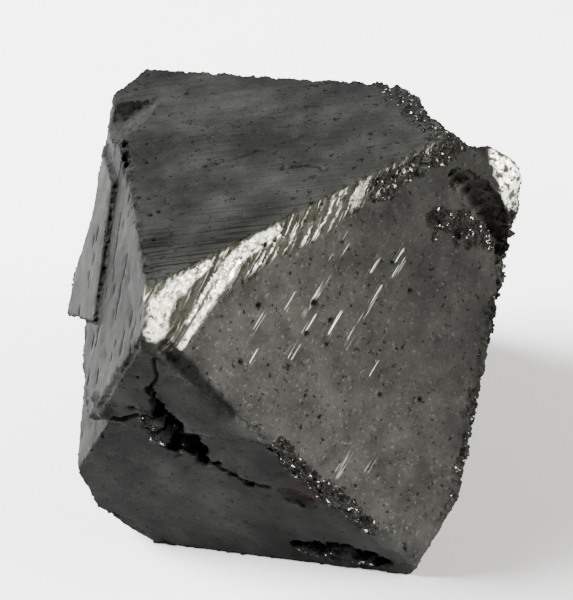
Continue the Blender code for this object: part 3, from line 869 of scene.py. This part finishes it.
def spread_lines(tree, place, name, across, run):
    """Noise drawn out into lines: fine across them and long along them."""
    finest, length, seed = LINE_NOISES[name]
    vector = node_of(tree, "ShaderNodeCombineXYZ")
    for socket, direction, size in zip(vector.inputs, (across, run), (finest, length)):
        tree.links.new(combine(tree, "DIVIDE", level_along(tree, place, direction), size), socket)
    vector.inputs[2].default_value = seed
    lines = noise(tree, vector.outputs[0], scale=1.0, detail=2.0, roughness=0.5)
    return ranged(tree, lines, *SPREADS[name])


DARK = (0.0088, 0.0090, 0.0086, 1)
MID = (0.023, 0.0236, 0.0220, 1)
PALE_DUST = (0.050, 0.050, 0.045, 1)
# Painted sheen: the lighter colour of the front right face.
PAINTED_SHEEN = (0.060, 0.061, 0.055, 1)
# Near black: painted shade in hollows, pits and cracks, and the colour of the dark specks and growth
# lines.
SHADE_LINE_AND_SPECK_BLACK = (0.0028, 0.0028, 0.0027, 1)
BRIGHT_STRIP = (0.88, 0.88, 0.74, 1)
OLIVE_STRIP = (0.055, 0.055, 0.040, 1)
# Painted glints: pale specks on the painted sheen.
PAINTED_GLINT_SPECK = (0.13, 0.13, 0.115, 1)
GRAIN_GREY = (0.020, 0.020, 0.018, 1)
RED_BROWN = (0.0135, 0.0100, 0.0092, 1)
# Painted light for the shaded gully.
GULLY_PAINTED_LIGHT = (0.080, 0.077, 0.068, 1)

STONE_IOR = 1.5
STONE_SPECULAR = 0.008
GRAIN_SPECULAR = 0.02

# How fully a mask shows, what a glint adds to the roughness and the metal, and the bumps.
PAINTED_SHEEN_SHARE = 0.7
GULLY_LIGHT_SHARE = 0.85
OLIVE_SHARE = 0.5
GLINT_ROUGHNESS = -0.12
GLINT_METAL = 0.92
FINE_BUMPS = 0.35
PORE_BUMPS = 0.5
GRIT_BUMPS = 1.6
BUMP_STRENGTH = 0.55
BUMP_DISTANCE_M = 0.00012

# Heights and places for the material, from the frame's origin.
UP = (0, 0, 1)
BACKWARD = (0, 1, 0)
TOP_LEVEL = MIDDLE[2] + FACES["top"][1]
LINES_BACK = MIDDLE[1] - 7.0
LINES_FRONT = MIDDLE[1] - 10.5
TOP_LINES_ACROSS = (0.12, 0.99, 0)
TOP_LINES_RUN = (0.99, -0.12, 0)
STRIPES_FROM = (-10.5, -8.5)


def glint_amount(tree, place, strip):
    """Bright metallic glints: grains and stripes on the worn strip, thin streaks on the face."""
    _, along, uphill = face_frame("front_right")
    run = along * math.cos(STREAK_ANGLE) + uphill * math.sin(STREAK_ANGLE)
    across = uphill * math.cos(STREAK_ANGLE) - along * math.sin(STREAK_ANGLE)
    stripes = spread_lines(tree, place, "stripes", across, run)
    broken = spread_noise(tree, place, "broken stripes")
    from_corner = ranged(tree, level_along(tree, place, along), *STRIPES_FROM, 0.35, 1.0)
    on_strip = product(tree, stripes, broken, strip, from_corner)
    on_white = product(tree, spread_noise(tree, place, "white grains"), mask_node(tree, "white"))
    height = level_along(tree, place, UP)
    beneath_top = ranged(tree, height, TOP_LEVEL - 0.22, TOP_LEVEL - 0.08, 1.0, 0.0)
    on_strip = product(tree, combine(tree, "MAXIMUM", on_strip, on_white), beneath_top)
    threads = spread_lines(tree, place, "threads", across, run)
    on_face = product(tree, threads, mask_node(tree, "streak"))
    on_lobe = product(tree, spread_noise(tree, place, "frost"), mask_node(tree, "lobe"))
    return combine(tree, "MAXIMUM", combine(tree, "MAXIMUM", on_strip, on_face), on_lobe)


def top_lines(tree, place):
    """Dark growth lines on the top face, strong at its front corner and faint further back."""
    lines = spread_lines(tree, place, "top lines", TOP_LINES_ACROSS, TOP_LINES_RUN)
    height = level_along(tree, place, UP)
    on_top = ranged(tree, height, TOP_LEVEL - 0.4, TOP_LEVEL - 0.2, 0.0, 1.0)
    backward = level_along(tree, place, BACKWARD)
    near_front = ranged(tree, backward, LINES_FRONT, LINES_BACK, 1.0, 0.25)
    return product(tree, lines, on_top, near_front)


def stone_colour(tree, place, rough, strip, glints):
    """The stone's colours, laid one over the other on the darkest one."""
    painted_sheen = mask_node(tree, "painted_sheen")
    layers = (
        (spread_noise(tree, place, "blotches"), MID),
        # Painted sheen on the front right face.
        (product(tree, painted_sheen, PAINTED_SHEEN_SHARE), PAINTED_SHEEN),
        (spread_noise(tree, place, "speckles"), PALE_DUST),
        (spread_noise(tree, place, "clouds"), DARK),
        (top_lines(tree, place), SHADE_LINE_AND_SPECK_BLACK),
        # Painted light over the shaded gully.
        (product(tree, mask_node(tree, "gully"), GULLY_LIGHT_SHARE), GULLY_PAINTED_LIGHT),
        # Painted glint specks, only where the sheen is painted.
        (product(tree, spread_noise(tree, place, "painted glint specks"), painted_sheen), PAINTED_GLINT_SPECK),
        (spread_noise(tree, place, "dark specks"), SHADE_LINE_AND_SPECK_BLACK),
        (product(tree, spread_noise(tree, place, "dust"), rough), PALE_DUST),
        (product(tree, strip, OLIVE_SHARE), OLIVE_STRIP),
        (glints, BRIGHT_STRIP),
        (mask_node(tree, "brown"), RED_BROWN),
        # Painted shade in the hollows, pits and cracks, and the darker bevel.
        (mask_node(tree, "hollow"), SHADE_LINE_AND_SPECK_BLACK),
    )
    colour = DARK
    for share, laid_over in layers:
        colour = mixed_colour(tree, share, colour, laid_over)
    return colour


def stone_bumps(tree, place, rough):
    """The shading normal for bumps too fine for the mesh."""
    fine = product(tree, noise(tree, place, *NOISES["fine bumps"]), FINE_BUMPS)
    pores = product(tree, spread_noise(tree, place, "pores"), PORE_BUMPS)
    gritty = product(tree, noise(tree, place, *NOISES["grit"]), rough, GRIT_BUMPS)
    bump = node_of(tree, "ShaderNodeBump", Strength=BUMP_STRENGTH, Distance=BUMP_DISTANCE_M)
    height = combine(tree, "ADD", combine(tree, "ADD", fine, pores), gritty)
    tree.links.new(height, bump.inputs["Height"])
    return bump.outputs["Normal"]


def mineral(name, specular):
    """A new material, its tree, its shader, and its places in millimetres."""
    material = bpy.data.materials.new(name)
    material.use_nodes = True
    tree = material.node_tree
    shader = tree.nodes["Principled BSDF"]
    shader.inputs["IOR"].default_value = STONE_IOR
    shader.inputs["Specular IOR Level"].default_value = specular
    scale = node_of(tree, "ShaderNodeMapping", Scale=(1 / MM, 1 / MM, 1 / MM))
    tree.links.new(node_of(tree, "ShaderNodeTexCoord").outputs["Object"], scale.inputs["Vector"])
    return material, tree, shader, scale.outputs["Vector"]


def dark_mineral():
    """Dark submetallic stone: satin faces with a painted sheen on the front right one, granular
    glittering edges, painted shade in the hollows.
    """
    material, tree, shader, place = mineral("dark_mineral", STONE_SPECULAR)
    rough, strip = mask_node(tree, "rough"), mask_node(tree, "strip")
    glints = glint_amount(tree, place, strip)
    colour = stone_colour(tree, place, rough, strip, glints)
    tree.links.new(colour, shader.inputs["Base Color"])
    polish = product(tree, glints, GLINT_ROUGHNESS)
    roughness = combine(tree, "ADD", spread_noise(tree, place, "satin"), polish)
    tree.links.new(roughness, shader.inputs["Roughness"])
    tree.links.new(product(tree, glints, GLINT_METAL), shader.inputs["Metallic"])
    tree.links.new(stone_bumps(tree, place, rough), shader.inputs["Normal"])
    return material


def grain_material():
    """Glittering grains, a little lighter than the faces."""
    material, tree, shader, place = mineral("mineral_grains", GRAIN_SPECULAR)
    colour = mixed_colour(tree, spread_noise(tree, place, "grain shades"), DARK, GRAIN_GREY)
    sparkle = spread_noise(tree, place, "grain sparkle")
    tree.links.new(mixed_colour(tree, sparkle, colour, BRIGHT_STRIP), shader.inputs["Base Color"])
    tree.links.new(sparkle, shader.inputs["Metallic"])
    tree.links.new(spread_noise(tree, place, "grain satin"), shader.inputs["Roughness"])
    return material


# Grains: number, seed, half widths, lean, and how deep they sit as a share of the half width.
GRAINS = 5200
GRAIN_SEED = 5
GRAIN_HALF_WIDTHS = (0.08, 0.20)
GRAIN_LEAN = 0.35
GRAIN_SINK = (0.1, 0.6)

# Grains stand where the spark mask is above the first value and no lower than the second.
GRAIN_SPARK_FROM = 0.3
GRAIN_LOWEST_M = 0.0008
OCTAHEDRON = (
    (1, 0, 0), (-1, 0, 0), (0, 1, 0), (0, -1, 0), (0, 0, AXIS_RATIO), (0, 0, -AXIS_RATIO),
)
OCTAHEDRON_SIDES = (
    (0, 2, 4), (2, 1, 4), (1, 3, 4), (3, 0, 4), (2, 0, 5), (1, 2, 5), (3, 1, 5), (0, 3, 5),
)


def make_grains(surface, material):
    """Tiny octahedra standing in the granular places, joined into one mesh."""
    points, normals = arrays_of(surface.data)
    rng = np.random.default_rng(GRAIN_SEED)
    weight = np.clip(read_mask(surface.data, "spark") - GRAIN_SPARK_FROM, 0, 1)
    weight *= points[:, 2] > GRAIN_LOWEST_M
    chosen = rng.choice(len(points), size=GRAINS, replace=False, p=weight / weight.sum())
    unit, sides, turn = np.array(OCTAHEDRON), np.array(OCTAHEDRON_SIDES), np.array(TURN)
    corners, faces = [], []
    for count, index in enumerate(chosen):
        size = rng.uniform(*GRAIN_HALF_WIDTHS) * MM
        angle = rng.normal(0, GRAIN_LEAN)
        lean = np.array(Matrix.Rotation(angle, 3, Vector(rng.normal(size=3)).normalized()))
        middle = points[index] - normals[index] * size * rng.uniform(*GRAIN_SINK)
        corners.append(middle + (unit * size) @ (lean @ turn).T)
        faces.append(sides + len(unit) * count)
    corners = np.concatenate(corners)
    corners[:, 2] = np.maximum(corners[:, 2], 0.0)
    mesh = bpy.data.meshes.new("crystal_grains")
    mesh.from_pydata(corners.tolist(), [], np.concatenate(faces).tolist())
    mesh.update()
    mesh.materials.append(material)
    grains = bpy.data.objects.new("crystal_grains", mesh)
    bpy.context.scene.collection.objects.link(grains)
    return grains


# Floor: half its width, its two shades of paper, and the painted shade that it takes on towards the
# front.
FLOOR_HALF_M = 1.6
FLOOR_ROUGHNESS = 0.75
FLOOR_WHITE = (0.86, 0.86, 0.87, 1)
FLOOR_WHITER = (0.90, 0.90, 0.905, 1)
FLOOR_PAINTED_SHADE = (0.58, 0.58, 0.59, 1)
FLOOR_BACK_M = 0.045
FLOOR_FRONT_M = -0.045


def pale_floor():
    """A plain pale surface to stand on."""
    mesh = bpy.data.meshes.new("floor")
    corners = [(x * FLOOR_HALF_M, y * FLOOR_HALF_M, 0) for x, y in ((-1, -1), (1, -1), (1, 1), (-1, 1))]
    mesh.from_pydata(corners, [], [(0, 1, 2, 3)])
    floor = bpy.data.objects.new("floor", mesh)
    bpy.context.scene.collection.objects.link(floor)
    material = bpy.data.materials.new("floor_paper")
    material.use_nodes = True
    tree = material.node_tree
    shader = tree.nodes["Principled BSDF"]
    shader.inputs["Roughness"].default_value = FLOOR_ROUGHNESS
    coords = node_of(tree, "ShaderNodeTexCoord").outputs["Object"]
    colour = mixed_colour(tree, spread_noise(tree, coords, "paper"), FLOOR_WHITE, FLOOR_WHITER)
    # Painted shade: the paper's colour darkens towards the front.
    backward = level_along(tree, coords, BACKWARD)
    nearer = ranged(tree, backward, FLOOR_BACK_M, FLOOR_FRONT_M, 0.0, 1.0)
    colour = mixed_colour(tree, nearer, colour, FLOOR_PAINTED_SHADE)
    tree.links.new(colour, shader.inputs["Base Color"])
    mesh.materials.append(material)


# Lights: name, direction from the crystal, distance and size in metres, watts and colour.
LIGHTS = (
    ("soft_left", (-0.72, 0.20, 0.66), 0.70, 0.34, 42.0, (1, 1, 1)),
    ("front_right", (0.72, -0.44, 0.50), 0.50, 0.22, 6.5, (1.0, 0.97, 0.92)),
)
WORLD_COLOUR = (0.80, 0.81, 0.83, 1)
WORLD_STRENGTH = 0.12


def area_light(name, towards, distance, size, power, colour):
    """A square soft light in a direction from the crystal, aimed at it."""
    light = bpy.data.lights.new(name, "AREA")
    light.size = size
    light.energy = power
    light.color = colour
    obj = bpy.data.objects.new(name, light)
    bpy.context.scene.collection.objects.link(obj)
    direction = Vector(towards).normalized()
    obj.location = MIDDLE * MM + direction * distance
    obj.rotation_euler = direction.to_track_quat("Z", "Y").to_euler()


def studio_light():
    for light in LIGHTS:
        area_light(*light)
    world = bpy.data.worlds.new("studio")
    bpy.context.scene.world = world
    world.use_nodes = True
    back = world.node_tree.nodes["Background"]
    back.inputs["Color"].default_value = WORLD_COLOUR
    back.inputs["Strength"].default_value = WORLD_STRENGTH


def photo_camera():
    """The camera in front and above, its long lens turned about its own axis."""
    data = bpy.data.cameras.new("photo_camera")
    data.lens = CAMERA_LENS_MM
    data.sensor_width = CAMERA_SENSOR_MM
    data.clip_start = CAMERA_NEAREST_M
    camera = bpy.data.objects.new("photo_camera", data)
    bpy.context.scene.collection.objects.link(camera)
    back = Vector((0, -math.cos(CAMERA_ELEVATION), math.sin(CAMERA_ELEVATION)))
    level = Vector((1, 0, 0))
    upward = back.cross(level)
    right = level * math.cos(CAMERA_ROLL) - upward * math.sin(CAMERA_ROLL)
    over = level * math.sin(CAMERA_ROLL) + upward * math.cos(CAMERA_ROLL)
    pose = Matrix((right, over, back)).transposed().to_4x4()
    pose.translation = (MIDDLE + back * CAMERA_DISTANCE) * MM
    camera.matrix_world = pose
    bpy.context.scene.camera = camera


def main():
    surface = make_surface(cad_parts["crystal"])
    surface.data.materials.append(dark_mineral())
    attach(surface, "root")
    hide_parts("crystal")
    grains = make_grains(surface, grain_material())
    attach(grains, "root")
    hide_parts("crystal")
    pale_floor()
    studio_light()
    photo_camera()


main()
